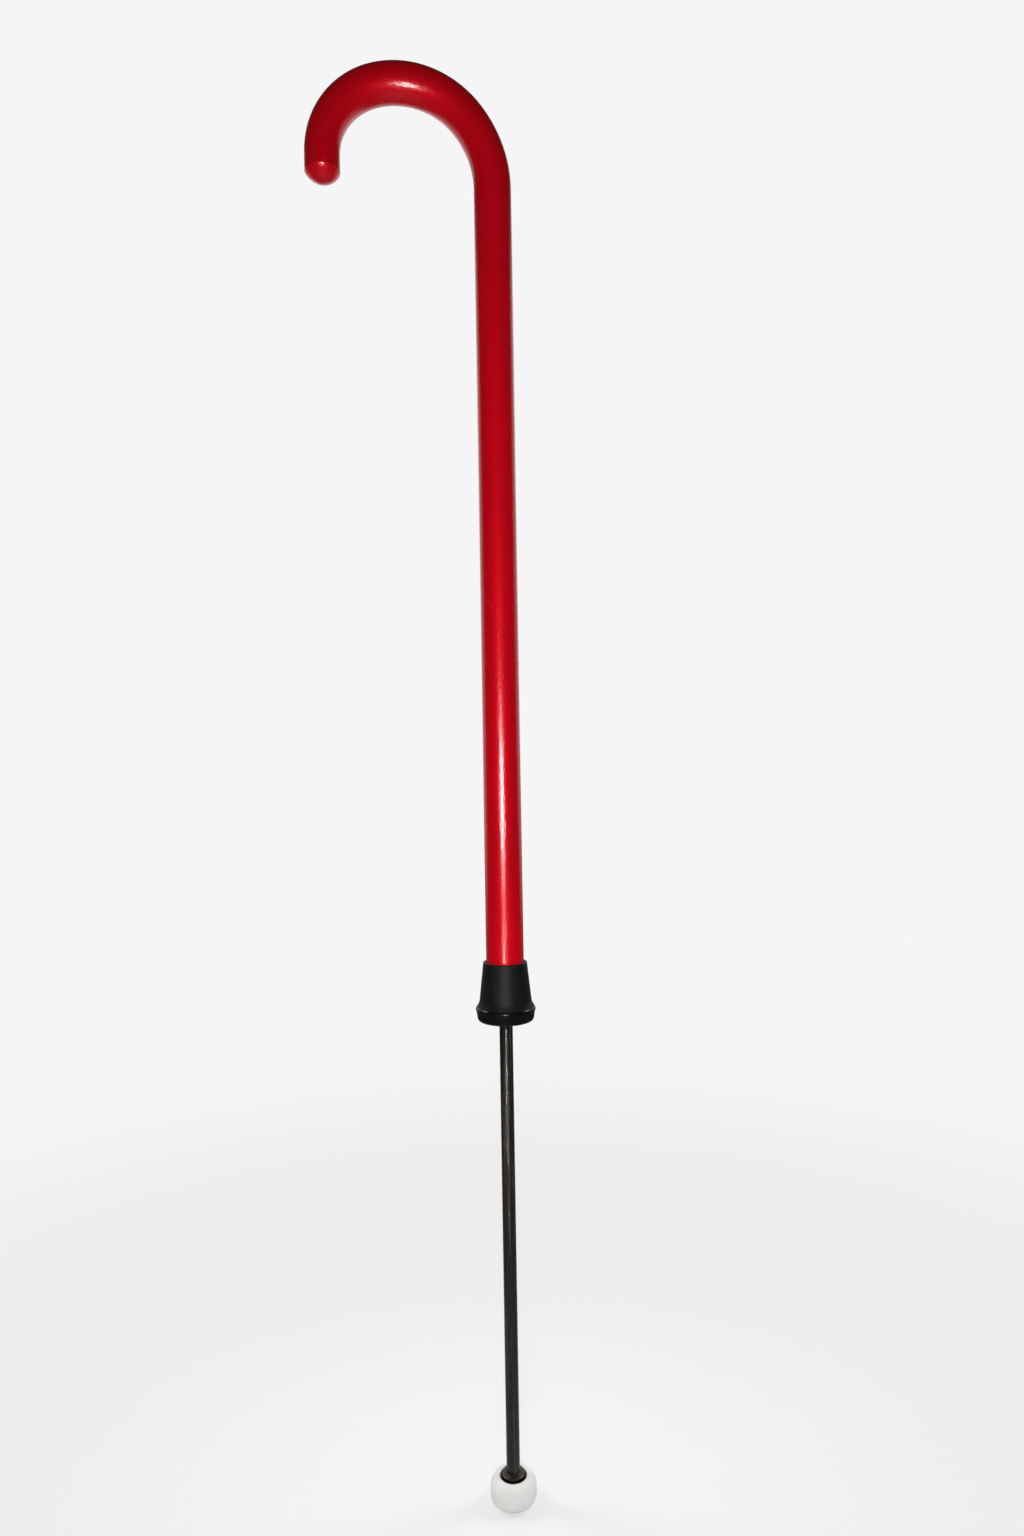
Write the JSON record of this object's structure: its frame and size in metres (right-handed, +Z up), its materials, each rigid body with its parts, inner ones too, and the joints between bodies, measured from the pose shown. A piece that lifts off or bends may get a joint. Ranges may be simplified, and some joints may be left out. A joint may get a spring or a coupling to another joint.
{
  "type": "white cane",
  "caption": "Crook-handled mobility cane with a rubber ferrule and a thin probing rod that slides out of the shaft and ends in a round roller tip.",
  "frame": {"origin": "centre of the roller tip's flat face, on the shaft's axis", "axes": "+Z up the shaft from the tip to the crook, crook in the XZ plane and opening towards -X"},
  "size_m": [0.1294, 0.036, 0.8567],
  "materials": {
    "red_lacquer": "gloss lacquer",
    "black_rubber": "matte moulded rubber",
    "dark_steel": "darkened, polished along its length",
    "dark_shield": "darkened steel, satin",
    "white_nylon": "satin nylon",
    "cream_nylon": "satin nylon",
    "plated_steel": "zinc plated",
    "bearing_steel": "ground and polished",
    "aluminium_tube": "drawn",
    "turned_brass": "turned",
    "cage_brass": "pressed",
    "brass_screws": "bright",
    "grey_felt": "dense felt",
    "beech": "bare"
  },
  "bodies": {
    "stick": {"crook_stick": "red_lacquer", "liner_tube": "aluminium_tube", "rubber_ferrule": "black_rubber", "ferrule_washer": "plated_steel", "guide_bush": "cream_nylon", "bush_screws": "brass_screws", "rod_wiper": "grey_felt", "extension_buffer": "black_rubber", "retraction_buffer": "black_rubber", "liner_plug": "beech"},
    "lock_carriage": {"expander_sleeve": "cream_nylon", "drag_ring": "black_rubber"},
    "cone": {"lock_cone": "turned_brass"},
    "rod": {"inner_rod": "dark_steel", "stop_collar": "plated_steel", "collar_pin": "plated_steel", "lock_stud": "plated_steel", "thrust_washer": "plated_steel", "end_nut": "plated_steel", "tip_shield": "dark_shield", "tip_spacer": "plated_steel", "tip_spindle": "plated_steel", "bearing_inner_race": "bearing_steel"},
    "ball_cage": {"bearing_balls": "bearing_steel", "bearing_cage": "cage_brass"},
    "roller": {"roller_tip": "white_nylon", "bearing_outer_race": "bearing_steel", "retaining_ring": "plated_steel", "dust_seal": "black_rubber"}
  },
  "joints": [
    {"name": "rod_extend", "type": "slide", "parent": "stick", "child": "lock_carriage", "axis": [0, 0, 1], "range_m": [0, 0.265]},
    {"name": "rod_twist", "type": "hinge", "parent": "lock_carriage", "child": "rod", "pos_m": [0, 0, 0.36], "axis": [0, 0, -1], "range_deg": [0, 540]},
    {"name": "cone_travel", "type": "slide", "parent": "lock_carriage", "child": "cone", "axis": [0, 0, 1], "range_m": [0, 0.0012]},
    {"name": "tip_spin", "type": "hinge", "parent": "rod", "child": "roller", "pos_m": [0, 0, 0.0075], "axis": [0, 0, 1], "continuous": true},
    {"name": "cage_spin", "type": "hinge", "parent": "rod", "child": "ball_cage", "pos_m": [0, 0, 0.0075], "axis": [0, 0, 1], "continuous": true}
  ],
  "couplings": [
    {"joint": "cone_travel", "follows": "rod_twist", "m_per_rad": 0.00012732},
    {"joint": "cage_spin", "follows": "tip_spin", "ratio": 0.63333}
  ]
}
